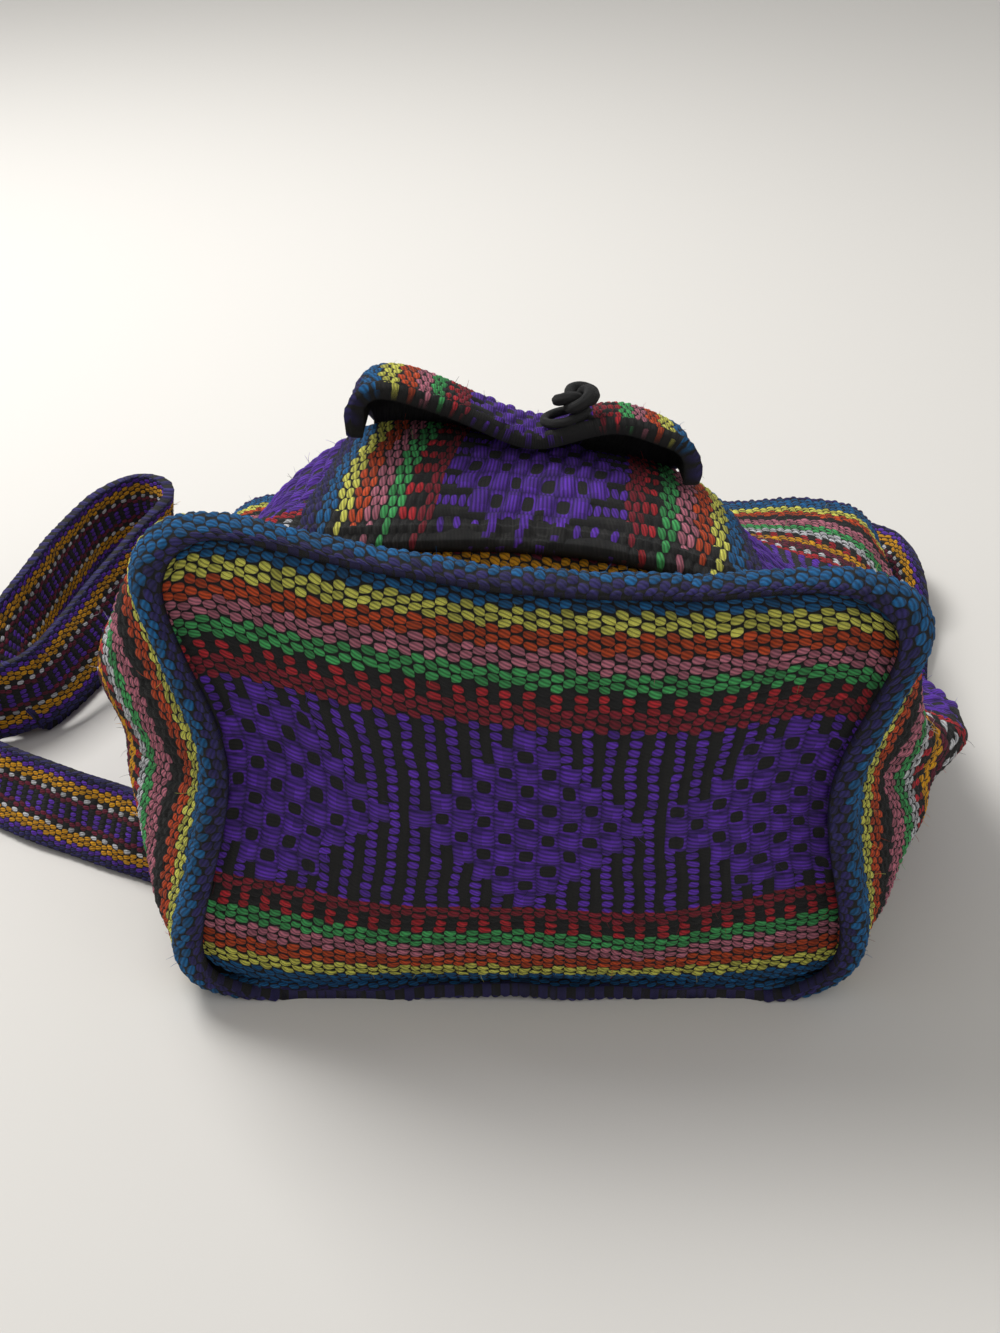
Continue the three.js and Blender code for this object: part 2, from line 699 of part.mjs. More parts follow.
// A toggle knotted from cord.
function toggle(name, place, across, t) {
  const geometry = new THREE.TorusKnotGeometry(knotRadius, knotCordRadius, 26, 5, 2, 3);
  geometry.scale(1, 1, knotFlatness);
  const height = (knotRadius / 2 + knotCordRadius) * knotFlatness;
  const mesh = new THREE.Mesh(geometry, cordMaterial());
  mesh.name = name;
  mesh.position.copy(bandPoint(place, across, t, cordLift + cordRadius + clearance + height));
  const away = mesh.position.clone().sub(bandPoint(place, across, t, 0)).normalize();
  mesh.quaternion.setFromUnitVectors(new THREE.Vector3(0, 0, 1), away);
  return mesh;
}

// The cord loop under a toggle, a closed oval laid on the band.
function cordLoop(name, place, across, t, bandLength) {
  const points = range(12).slice(0, -1).map((turn) => {
    const angle = turn * 2 * Math.PI;
    const aside = across + loopHalfLength * Math.cos(angle);
    const on = t + (loopHalfWidth * Math.sin(angle)) / bandLength;
    return bandPoint(place, aside, on, cordLift);
  });
  const curve = new THREE.CatmullRomCurve3(points, true, 'centripetal');
  const mesh = new THREE.Mesh(new THREE.TubeGeometry(curve, 18, cordRadius, 5, true), cordMaterial());
  mesh.name = name;
  return mesh;
}

const hemShare = hemRoll / pocketHeight;
const flapShare = hemRoll / flapReach;
const mainShare = hemRoll / (mainFlapReach + mainFlapWrap);
const pocketSteps = [0, hemShare * 0.9, hemShare * 1.1, 0.25, 0.45, 0.65, 0.85, 1];
const flapSteps = [0, 0.08, 0.18, 0.32, 0.5, 0.7, 1 - flapShare * 1.1, 1];
const mainSteps = [0, 0.07, 0.14, 0.21, 0.28, 0.4, 0.52, 0.64, 0.76, 0.88, 1 - mainShare * 1.1, 1];

const meshes = new THREE.Group();
meshes.name = 'backpack';
meshes.position.y = -bagLength / 2;
meshes.add(bodyWrap());
meshes.add(bottomPanel());
meshes.add(bandPiece('front_pocket', pocketPlace, pocketSteps, { at: 0, share: hemShare }));
meshes.add(bandPiece('pocket_flap', flapPlace, flapSteps, { at: 1, share: flapShare * 0.5 }));
meshes.add(bandPiece('main_flap', mainFlapPlace, mainSteps, { at: 1, share: mainShare * 0.5 }));
meshes.add(toggle('pocket_toggle', flapPlace, pocketKnotAside, pocketKnotShare));
meshes.add(cordLoop('pocket_loop', flapPlace, pocketLoopAside, pocketKnotShare, flapReach));
meshes.add(toggle('main_toggle', mainFlapPlace, mainKnotAside, mainKnotShare));
meshes.add(cordLoop('main_loop', mainFlapPlace, 0, mainKnotShare, mainFlapReach + mainFlapWrap));
meshes.add(strap('shoulder_strap_left', leftStrapRoute, leftStart, leftEnd));
meshes.add(strap('shoulder_strap_right', rightStrapRoute, rightStart, rightEnd));

export default meshes;
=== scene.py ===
import math

import bpy
import numpy as np
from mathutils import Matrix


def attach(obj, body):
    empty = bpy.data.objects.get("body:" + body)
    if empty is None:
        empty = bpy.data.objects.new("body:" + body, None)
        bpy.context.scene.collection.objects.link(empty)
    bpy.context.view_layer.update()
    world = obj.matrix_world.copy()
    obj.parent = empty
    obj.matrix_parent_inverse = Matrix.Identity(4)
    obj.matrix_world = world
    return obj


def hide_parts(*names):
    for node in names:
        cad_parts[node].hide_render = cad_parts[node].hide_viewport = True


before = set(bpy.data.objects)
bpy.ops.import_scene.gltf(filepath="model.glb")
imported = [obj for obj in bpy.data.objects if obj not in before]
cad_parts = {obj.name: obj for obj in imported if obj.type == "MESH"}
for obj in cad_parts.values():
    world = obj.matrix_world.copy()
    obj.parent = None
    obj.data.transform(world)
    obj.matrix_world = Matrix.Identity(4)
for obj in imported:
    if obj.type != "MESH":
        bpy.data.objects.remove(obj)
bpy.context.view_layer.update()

# Lengths are in millimetres until a mesh is made.
bag = {
    "baseWidth": 160.0,
    "baseDepth": 105.0,
    "length": 196.0,
    "clothHeight": 207.0,
    "belly": 97.0,
    "chest": 92.0,
    "valley": 85.0,
    "mouthDepth": 29.0,
    "mouthHalves": (97.0, 121.0),
    "lap": 6.0,
    "baseLean": 9.0,
    "baseTwist": 7.0,
    "endBow": 3.0,
    "baseBulge": 8.0,
    "flares": (13.0, 20.0),
    "waists": (9.0, 14.0),
    "creaseDepth": 5.0,
    "creaseHalfWidth": 9.0,
    "lapForward": 4.6,
    "picks": 226,
}
cloth = {
    "thickness": 2.6,
    "relief": 0.85,
    "rowPitch": 2.25,
    "pickPitch": 2.667,
    "finePerPick": 3,
    "finePerRow": 3,
    "stagger": 0.5,
    "wobble": 0.13,
    "wrinkle": 0.35,
    "seatLift": 4.3,
}
pocket = {"rise": 47.5, "height": 40.0, "width": 108.0, "mouthWidth": 96.0, "bulge": 2.5, "gap": 3.0,
          "shift": 6.0, "hemArch": 5.0, "hem": 4.4}
flap = {"setBack": 6.0, "reach": 24.0, "width": 75.0, "hem": 3.0, "pickStretch": 1.25, "stretch": 1.45,
        "knotAside": -21.0, "loopAside": -15.0, "knotAt": 0.8}
mainFlap = {"reach": 62.0, "wrap": 22.0, "loft": 4.0, "hem": 4.0, "wrapStretch": 1.6, "knotAside": -6.0,
            "loopAside": 0.0, "knotAt": 0.93}
hemSwell = 1.1
# The share of crossings in a hem that keep their stripe's colour, the rows that a selvedge keeps, and the
# rows of the wrap that turn over the base.
hemDashes = 0.75
selvedge = 3.5
turnedRows = 4
strap = {"width": 22.0, "thickness": 3.0, "pickPitch": 1.9, "relief": 0.5}
cord = {"radius": 1.1, "loopHalfLength": 8.0, "loopHalfWidth": 3.5, "knotRadius": 3.2, "knotCordRadius": 1.5,
        "knotDrawn": 0.9, "knotFlatness": 0.8, "clear": 1.1, "knotClear": 0.3}
fibre = {"share": 0.11, "lengths": (0.9, 2.6), "radius": 0.06, "lean": 0.55, "bend": 0.7, "clear": 4.0}
camera = {"place": (-4.85, -393.9, 280.0), "pitch": 57.5, "lens": 44.56, "sensor": 36.0}
light = {"keyPlace": (-520.0, 430.0, 900.0), "keySize": 0.5, "keyPower": 13.0,
         "fillPlace": (500.0, -900.0, 700.0), "fillSize": 1.2, "fillPower": 3.0, "sky": 0.5}

half = cloth["thickness"] / 2
halfBase = bag["baseWidth"] / 2


def linear(code):
    parts = [int(code[i:i + 2], 16) / 255 for i in (0, 2, 4)]
    return tuple(p / 12.92 if p <= 0.04045 else ((p + 0.055) / 1.055) ** 2.4 for p in parts)


yarns = {
    "indigo": linear("2a2360"),
    "blue": linear("115d92"),
    "yellow": linear("dcd960"),
    "orange": linear("c4481d"),
    "pink": linear("bd6f80"),
    "green": linear("42a45a"),
    "white": linear("cfcfd2"),
    "red": linear("b5212b"),
    "crimson": linear("861a2a"),
    "purple": linear("5c2bab"),
    "black": linear("100f0e"),
    "gold": linear("dd9c10"),
    "burgundy": linear("6b1530"),
}

# How the black yarn is lightened or darkened: darker where it lies deep between the beads, as painted shade;
# lighter where it lies behind; lighter where it is rolled in a hem, as a painted highlight; and painted
# lighter and darker along a twisted cord's plies.
blackShares = {"gap": 0.6, "back": 1.4, "hem": 2.2, "cordDark": 0.3, "cordLight": 2.6}


def blackOf(place):
    return tuple(blackShares[place] * k for k in yarns["black"])


# Each stripe is its yarn, its rows, and the yarn of every second pick where that differs.
bandStripe = [("blue", 2), ("yellow", 2), ("orange", 2), ("pink", 2), ("green", 2), ("red", 2, "black"),
              ("crimson", 2)]
bandEdge = [("indigo", 2), *bandStripe]
wrapEdge = [("indigo", 1), ("blue", 3), ("yellow", 2), ("orange", 2), ("black", 2), ("pink", 3), ("green", 2),
            ("white", 2), ("red", 2, "black"), ("gold", 2), ("burgundy", 2), ("white", 2, "black"),
            ("red", 2)]
bandMiddleRows = 22
wrapMiddleRows = 38
panelStripes = [*bandStripe, ("purple", bandMiddleRows), *bandStripe[::-1]]
bandStripes = [*bandEdge, ("purple", bandMiddleRows), *bandEdge[::-1]]
wrapStripes = [*wrapEdge, ("purple", wrapMiddleRows), *wrapEdge[::-1]]
strapEdge = [("indigo", 1), ("purple", 1), ("gold", 2), ("white", 1, "black"), ("burgundy", 1)]
strapStripes = [*strapEdge, ("purple", 3, "black"), *strapEdge[::-1]]


def countRows(stripes):
    return sum(stripe[1] for stripe in stripes)


bandWidth = countRows(bandStripes) * cloth["rowPitch"]
panelRows = countRows(panelStripes)
bandRows = countRows(bandStripes)
wrapRows = countRows(wrapStripes)
strapRows = countRows(strapStripes)
panelPicks = 60
diamondPicks = 24


def smoothstep(x, low, high):
    t = np.clip((x - low) / (high - low), 0, 1)
    return t * t * (3 - 2 * t)


def curve(points, places, closed=False):
    points = np.asarray(points, float)
    count = len(points)
    if closed:
        at = np.asarray(places) * count
        i = np.floor(at).astype(int)
        share = at - i
        around = [points[(i + k) % count] for k in (-1, 0, 1, 2)]
    else:
        at = np.asarray(places) * (count - 1)
        i = np.minimum(np.floor(at).astype(int), count - 2)
        share = at - i
        longer = np.concatenate([[2 * points[0] - points[1]], points, [2 * points[-1] - points[-2]]])
        around = [longer[i + k] for k in (0, 1, 2, 3)]
    steps = [np.sqrt(np.linalg.norm(b - a, axis=-1, keepdims=True)) for a, b in zip(around, around[1:])]
    middle = np.where(steps[1] < 1e-4, 1, steps[1])
    before = np.where(steps[0] < 1e-4, middle, steps[0])
    after = np.where(steps[2] < 1e-4, middle, steps[2])
    p0, p1, p2, p3 = around
    start = ((p1 - p0) / before - (p2 - p0) / (before + middle) + (p2 - p1) / middle) * middle
    end = ((p2 - p1) / middle - (p3 - p1) / (middle + after) + (p3 - p2) / after) * middle
    t = share.reshape(share.shape + (1,) * (p1.ndim - share.ndim))
    cubic = 2 * p1 - 2 * p2 + start + end
    square = -3 * p1 + 3 * p2 - 2 * start - end
    return ((cubic * t + square) * t + start) * t + p1


def respace(points, count):
    lengths = np.concatenate([[0], np.cumsum(np.linalg.norm(np.diff(points, axis=0), axis=1))])
    wanted = np.linspace(0, lengths[-1], count + 1)
    return np.stack([np.interp(wanted, lengths, points[:, k]) for k in range(3)], axis=1)


def ripples(points, wavelength, seed):
    made = np.random.default_rng(seed)
    directions = made.normal(size=(9, 3))
    directions /= np.linalg.norm(directions, axis=1, keepdims=True)
    directions *= (2 * math.pi / wavelength) * made.uniform(0.6, 1.5, (9, 1))
    return np.sin(points @ directions.T + made.uniform(0, 6.28, 9)).sum(-1) / 3


def rimStand(x, z):
    t = z / bag["baseDepth"]
    lean = (bag["baseLean"] - bag["baseTwist"] * x / halfBase) * t * t
    return lean - bag["endBow"] * np.sin(math.pi * np.minimum(t, 1))


def section(at, sides, waists, shoulders, front, corner, bottom=half, forward=0.0):
    return {"at": at, "sides": sides, "waists": waists, "shoulders": shoulders, "front": front,
            "corner": corner, "bottom": bottom, "forward": forward}


def sectionPoints(s):
    left, right = s["sides"]
    leftTop, rightTop = left + s["shoulders"][0], right + s["shoulders"][1]
    bottom, corner, front = s["bottom"], s["corner"], s["front"]
    waist = [bottom + (front[k] - bottom) * 0.57 for k in (0, 4)]
    outline = np.array([
        (0, bottom), (-left + corner, bottom), (-left, bottom + corner), (-left - s["waists"][0], waist[0]),
        (-leftTop, front[0] - corner), (-leftTop + corner * 0.9, front[0]), (-left * 0.42, front[1]),
        (0, front[2]), (right * 0.42, front[3]), (rightTop - corner * 0.9, front[4]),
        (rightTop, front[4] - corner), (right + s["waists"][1], waist[1]), (right, bottom + corner),
        (right - corner, bottom),
    ])
    x, z = outline.T
    y = s["at"] + rimStand(x, z) * (1 - s["at"] / bag["length"]) - s["forward"]
    return np.stack([x, y, z], axis=1)


def drawnIn(s, side, edge, forward):
    return {**s, "sides": [k - side for k in s["sides"]], "front": [h - edge for h in s["front"]],
            "bottom": s["bottom"] + edge, "forward": forward}


def over(height, offsets):
    return [height + offset for offset in offsets]


def halves(share):
    return [halfBase + flare * k for flare, k in zip(bag["flares"], share)]


leftWaist, rightWaist = bag["waists"]
mouthLeft, mouthRight = bag["mouthHalves"]
seam = section(0, [halfBase, halfBase], [-9, -6.5], [3.5, 4.5],
               over(bag["baseDepth"], [11, 7, 3.5, 3.7, 5.5]), 9)
bagSections = [
    drawnIn(seam, bag["lap"], 1.8, bag["lapForward"]),
    drawnIn(seam, 1.6, 0.9, bag["lapForward"] - 0.6),
    seam,
    section(12, halves([0.45, 0.3]), [-3, 1], [4, 0],
            over(bag["baseDepth"], [2, -6, -10, -10, -8]), 14),
    section(26, halves([0.7, 0.6]), [leftWaist * 0.4, rightWaist * 0.6], [8, 0],
            over(bag["valley"], [11, 3, 1, 1, -1]), 20),
    section(40, halves([0.9, 0.8]), [leftWaist * 0.9, rightWaist], [9, -1],
            over(bag["belly"], [-6, -1, -2, -6, -18]), 24),
    section(65, halves([1, 1]), [leftWaist, rightWaist], [7, 0],
            over(bag["belly"], [-18, 2, 0, -8, -32]), 26),
    section(100, halves([1.15, 1.3]), [leftWaist * 0.6, rightWaist * 0.6], [2, 0],
            over(bag["chest"], [-30, 5, 0, -12, -46]), 21),
    section(140, [mouthLeft + 1, mouthRight - 8], [4, 5], [0, 0],
            over(bag["mouthDepth"], [15, 38, 34, 22, 8]), 16),
    section(172, [mouthLeft + 1, mouthRight - 2], [1, 2], [0, 0],
            over(bag["mouthDepth"], [6, 11, 12, 7, 3]), 12),
    section(bag["length"], [mouthLeft, mouthRight], [0, 0], [0, 0],
            over(bag["mouthDepth"], [2, 1, 0, 0, 0]), 11),
]
ringColumns = 192
lengthRows = 240


def bagRing(s):
    samples = curve(sectionPoints(s), np.linspace(0, 1, 561)[:-1], True)
    samples = np.concatenate([samples, samples[:1]])
    left = respace(samples[:281], ringColumns // 2)
    right = respace(samples[280:], ringColumns // 2)
    return np.concatenate([left[:-1], right])


def pinch(points):
    x, y, z = points[..., 0], points[..., 1], points[..., 2]
    side = np.sign(x)
    groove = np.where(side > 0, 62 - y * 0.7, 60 - y * 0.3)
    across = (z - groove) / bag["creaseHalfWidth"]
    reach = smoothstep(np.abs(x), 55, 78) * (1 - smoothstep(y, 40, 75)) * smoothstep(y, 0, 12)
    depth = np.where(side > 0, bag["creaseDepth"], bag["creaseDepth"] * 0.5)
    points[..., 0] -= side * depth * np.exp(-across * across) * reach
    points[..., 2] = np.maximum(points[..., 2], half)
    return points


rings = np.stack([bagRing(s) for s in bagSections])
lengthways = curve(rings, np.linspace(0, 1, 401))
bagGrid = pinch(np.stack([respace(lengthways[:, j], lengthRows) for j in range(ringColumns + 1)]))
steps = np.linalg.norm(np.diff(bagGrid, axis=0), axis=2)
leftGirth = steps[: ringColumns // 2].sum(0)
rightGirth = steps[ringColumns // 2:].sum(0)


def gridPoint(grid, u, v):
    u = np.clip(u * (grid.shape[0] - 1), 0, grid.shape[0] - 1)
    v = np.clip(v * (grid.shape[1] - 1), 0, grid.shape[1] - 1)
    i = np.minimum(u.astype(int), grid.shape[0] - 2)
    j = np.minimum(v.astype(int), grid.shape[1] - 2)
    s, t = (u - i)[..., None], (v - j)[..., None]
    near = grid[i, j] * (1 - s) + grid[i + 1, j] * s
    far = grid[i, j + 1] * (1 - s) + grid[i + 1, j + 1] * s
    return near * (1 - t) + far * t


def bagPoint(turn, along):
    return gridPoint(bagGrid, np.mod(turn, 1.0), along / bag["clothHeight"])


def bagNormal(turn, along):
    across = bagPoint(turn + 0.01, along) - bagPoint(turn - 0.01, along)
    onward = bagPoint(turn, along + 2.5) - bagPoint(turn, along - 2.5)
    normal = np.cross(across, onward)
    return normal / np.linalg.norm(normal, axis=-1, keepdims=True)


def frontPoint(across, along, lift):
    across, along = np.broadcast_arrays(np.asarray(across, float), np.asarray(along, float))
    share = np.clip(along / bag["clothHeight"], 0, 1) * lengthRows
    girth = np.where(across < 0, np.interp(share, np.arange(lengthRows + 1), leftGirth),
                     np.interp(share, np.arange(lengthRows + 1), rightGirth))
    turn = 0.5 + 0.5 * across / girth
    return bagPoint(turn, along) + bagNormal(turn, along) * np.asarray(lift)[..., None]


# The base: a surface stretched between the four edges of the seam.
def panelGrid():
    inset = cloth["thickness"] + 1.2
    outline = sectionPoints(drawnIn(seam, inset, inset, 0.0))
    count = len(outline)
    columns, rows = 56, 100

    def edge(low, high, parts):
        samples = curve(outline, np.mod(np.linspace(low, high, 200) / count, 1.0), True)
        return respace(samples, parts)

    bottom, top = edge(1.5, 12.5 - count, columns), edge(4.5, 9.5, columns)
    left, right = edge(1.5, 4.5, rows), edge(12.5, 9.5, rows)
    u = np.linspace(0, 1, columns + 1)[:, None, None]
    v = np.linspace(0, 1, rows + 1)[None, :, None]
    points = bottom[:, None] * (1 - v) + top[:, None] * v + left[None] * (1 - u) + right[None] * u
    points = points - bottom[0] * (1 - u) * (1 - v) - bottom[-1] * u * (1 - v)
    points = points - top[0] * (1 - u) * v - top[-1] * u * v
    swell = smoothstep(np.minimum(u, 1 - u), 0.03, 0.33) * (1 - (2 * v - 1) ** 4)
    points[..., 1] -= bag["baseBulge"] * swell[..., 0]
    return np.stack([respace(column, rows) for column in points])


baseGrid = panelGrid()


def panelPlace(u, v):
    return gridPoint(baseGrid, u, v)


def pocketPlace(t, w):
    share = 2 * w - 1
    across = share * bandWidth / 2
    rise = 1 - (1 - t) ** 3
    swell = (pocket["gap"] + pocket["bulge"] * np.sin(math.pi * t)) * rise * (1 - np.abs(share) ** 5)
    wide = pocket["width"] + (pocket["mouthWidth"] - pocket["width"]) * t
    along = pocket["rise"] + t * pocket["height"] - pocket["hemArch"] * share * share * (1 - t)
    return frontPoint(share * wide / 2 + pocket["shift"] * t, along, cloth["seatLift"] + swell)


# How high the flap's free edge stands across its width, from right to left.
flapRises = curve([(-1, 7.5, 0), (-0.95, 13.5, 0), (-0.84, 16.56, 0), (-0.6, 18, 0), (0, 11.5, 0),
                   (0.6, 17.85, 0), (0.86, 21, 0), (0.96, 18.06, 0), (1, 10, 0)], np.linspace(0, 1, 200))


def flapPlace(t, w):
    share = 2 * w - 1
    rise = np.interp(share, flapRises[:, 0], flapRises[:, 1])
    root = pocket["rise"] + pocket["height"] + flap["setBack"]
    lift = cloth["seatLift"] + rise * (1 - (1 - t) ** 5)
    return frontPoint(-share * flap["width"] / 2, root - t * flap["reach"], lift)


def mainFlapPlace(t, w):
    across = (2 * w - 1) * bandWidth / 2
    wrapShare = mainFlap["wrap"] / (mainFlap["wrap"] + mainFlap["reach"])
    end = np.full_like(across, bag["clothHeight"])
    girth = np.where(across > 0, leftGirth[-1], rightGirth[-1])
    back = bagPoint(0.5 * across / girth, end)
    front = frontPoint(-across, end, cloth["seatLift"])
    turn = np.clip(t / wrapShare, 0, 1)
    angle = turn * math.pi
    radius = (front[..., 2] - back[..., 2]) / 2
    out = 0.6 + (half + mainFlap["loft"]) * np.sin(angle / 2) * np.cos(angle / 4)
    turned = np.stack([
        back[..., 0] + (front[..., 0] - back[..., 0]) * turn,
        back[..., 1] + (front[..., 1] - back[..., 1]) * turn + out,
        (front[..., 2] + back[..., 2]) / 2 - radius * np.cos(angle),
    ], axis=-1)
    lain = np.clip((t - wrapShare) / (1 - wrapShare), 0, 1)
    laid = frontPoint(-across, bag["clothHeight"] - lain * mainFlap["reach"], cloth["seatLift"])
    laid[..., 1] += (0.6 + (half + mainFlap["loft"]) * math.sqrt(0.5)) * (1 - lain)
    return np.where((t < wrapShare)[..., None], turned, laid)


# Each stop of a strap is a place on its middle line and the direction of its upper edge.
leftStops = [
    (-93.3, 41, 11, 0, 0.4, 1), (-104, 47, 10.7, 0, 0.5, 1), (-118, 54, 10.7, 0, 0.55, 1),
    (-133, 62, 10.7, 0, 0.6, 1), (-148, 71, 11, -0.1, 0.5, 1), (-161, 80, 11.4, -0.4, 0.3, 1),
    (-166, 90, 12, -0.5, 0, 1), (-160, 99, 13, -0.5, 0, 1), (-149, 104, 13.4, -0.6, -0.1, 1),
    (-139, 112, 14.5, -0.6, -0.1, 1), (-131, 128, 17.5, -0.6, 0, 1), (-124, 146, 22, -0.5, 0, 1),
    (-117, 165, 26, -0.3, 0.1, 1), (-113, 181, 29, 0, 0.2, 1), (-116, 192, 30, 0, 0.2, 1),
    (-125, 197, 29, 0, 0.1, 1), (-136, 190, 26.5, -0.1, 0, 1), (-144, 172, 23, -0.2, 0, 1),
    (-149, 152, 20, -0.3, 0, 1), (-153, 134, 16, -0.6, 0, 0.8), (-154, 119, 10.5, -0.9, 0, 0.5),
    (-153, 111, 6.2, -1, 0, 0.1), (-151, 108.5, 4.2, -1, 0, 0), (-149, 112, 2.2, -1, 0, 0),
    (-144, 122, 2, -1, 0.2, 0), (-138, 138, 2, -0.95, 0.3, 0), (-130, 155, 2, -0.9, 0.45, 0),
    (-119, 172, 2, -0.85, 0.5, 0), (-104, 189, 2, -0.8, 0.6, 0),
]
rightStops = [
    (94.1, 52.3, 11.5, 0.5, 0, 1), (101, 66, 9.6, 0.85, 0, 0.7), (106, 84, 6.2, 1, 0, 0.4),
    (110, 104, 3.2, 1, 0, 0.1), (114, 124, 2.4, 1, 0, 0), (119, 146, 2.4, 1, 0, 0),
    (124, 168, 4, 1, 0.1, 0.25), (126.5, 185, 7, 0.7, 0.3, 0.8), (124, 200, 8, 0.55, 0.6, 0.6),
    (114, 212, 7, 0.4, 0.9, 0.3), (98, 220, 6, 0.2, 1, 0), (77, 224, 5.8, 0, 1, 0), (47, 226, 5.8, 0, 1, 0),
    (17, 226, 5.8, 0, 1, 0), (-3, 226, 5.8, 0, 1, 0), (-9, 226, 5.6, 0, 1, 0), (-11.5, 226, 3.9, 0, 1, 0),
    (-9, 226, 2.2, 0, 1, 0), (-3, 226, 2, 0, 1, 0), (17, 226, 2, 0, 1, 0), (47, 224, 2, 0, 1, 0),
    (77, 216, 2, 0.2, 1, 0), (92, 208.4, 2, 0.3, 1, 0),
]


def strapPlace(stops):
    stops = np.array(stops, float)
    places = np.linspace(0, 1, 1201)
    middles = curve(stops[:, :3], places)
    tops = curve(stops[:, 3:], places)
    lengths = np.concatenate([[0], np.cumsum(np.linalg.norm(np.diff(middles, axis=0), axis=1))])
    onward = np.gradient(middles, axis=0)
    onward /= np.linalg.norm(onward, axis=1, keepdims=True)
    tops -= onward * (tops * onward).sum(1, keepdims=True)
    tops /= np.linalg.norm(tops, axis=1, keepdims=True)

    def place(t, w):
        at = t * lengths[-1]
        middle = np.stack([np.interp(at, lengths, middles[:, k]) for k in range(3)], axis=-1)
        top = np.stack([np.interp(at, lengths, tops[:, k]) for k in range(3)], axis=-1)
        return middle + top * ((w - 0.5) * strap["width"])[..., None]

    return place, lengths[-1]


def roundTop(p, q):
    return np.sqrt(np.clip((1 - p * p) * (1 - q * q), 0, 1))


def beadHeight(u, v):
    odd = np.mod(np.floor(u), 2)
    shifted = v + odd * cloth["stagger"]
    return roundTop(2 * np.mod(u, 1) - 1, 2 * np.mod(shifted, 1) - 1)


# Where a figured middle lies in a cloth: its first row, its rows, and the pick at its first diamond's centre.
def field(start, rows, centre):
    return {"start": start, "rows": rows, "centre": centre, "middle": (rows / 2 - 1) / 2,
            "reach": rows / 4 + 0.5}


# In a figured middle, floats of two picks by two rows stand up inside diamonds, and cords run between them.
def figuredHeight(figure):
    def height(u, v):
        columns = (u - figure["centre"]) / 2 + 0.5
        rows = (v - figure["start"]) / 2
        column, row = np.floor(columns), np.floor(rows)
        across = np.abs(np.mod(2 * column + diamondPicks / 2, diamondPicks) - diamondPicks / 2)
        inside = across / 2 + np.abs(row - figure["middle"]) < figure["reach"]
        floats = np.mod(column + row, 2) < 0.5
        tall = roundTop(2 * (columns - column) - 1, 2 * (rows - row) - 1)
        odd = np.mod(np.floor(u), 2)
        cords = np.sqrt(np.clip(1 - (2 * np.mod(u, 1) - 1) ** 2, 0, 1))
        bars = np.where(odd > 0.5, beadHeight(u, v) * 0.5, cords * 0.85)
        figured = np.where(inside, np.where(floats, 0.35 + tall, 0.15), bars)
        return np.where((rows >= 0) & (rows < figure["rows"] / 2), figured, beadHeight(u, v))

    return height


panelField = field(countRows(bandStripe), bandMiddleRows, panelPicks / 2)
wrapField = field(countRows(wrapEdge), wrapMiddleRows, bag["picks"] / 2)


def normalsOf(points, closed, reach):
    if closed:
        across = np.roll(points, -reach, 0) - np.roll(points, reach, 0)
    else:
        i = np.arange(points.shape[0])
        across = points[np.minimum(i + reach, i[-1])] - points[np.maximum(i - reach, 0)]
    j = np.arange(points.shape[1])
    onward = points[:, np.minimum(j + reach, j[-1])] - points[:, np.maximum(j - reach, 0)]
    normal = np.cross(across, onward)
    return normal / np.maximum(np.linalg.norm(normal, axis=-1, keepdims=True), 1e-9)


def makeMesh(name, points, faces, weave, shader, node):
    mesh = bpy.data.meshes.new(name)
    placed = (points - np.array([0, bag["length"] / 2, 0])) / 1000
    placed[:, 2] = np.maximum(placed[:, 2], 0)
    mesh.from_pydata(placed.tolist(), [], faces)
    attribute = mesh.attributes.new("weave", "FLOAT_VECTOR", "POINT")
    attribute.data.foreach_set("vector", weave.astype(np.float32).ravel())
    mesh.polygons.foreach_set("use_smooth", np.ones(len(mesh.polygons), bool))
    mesh.materials.append(shader)
    thing = bpy.data.objects.new(name, mesh)
    bpy.context.collection.objects.link(thing)
    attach(thing, "root")
    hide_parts(node)
    return thing


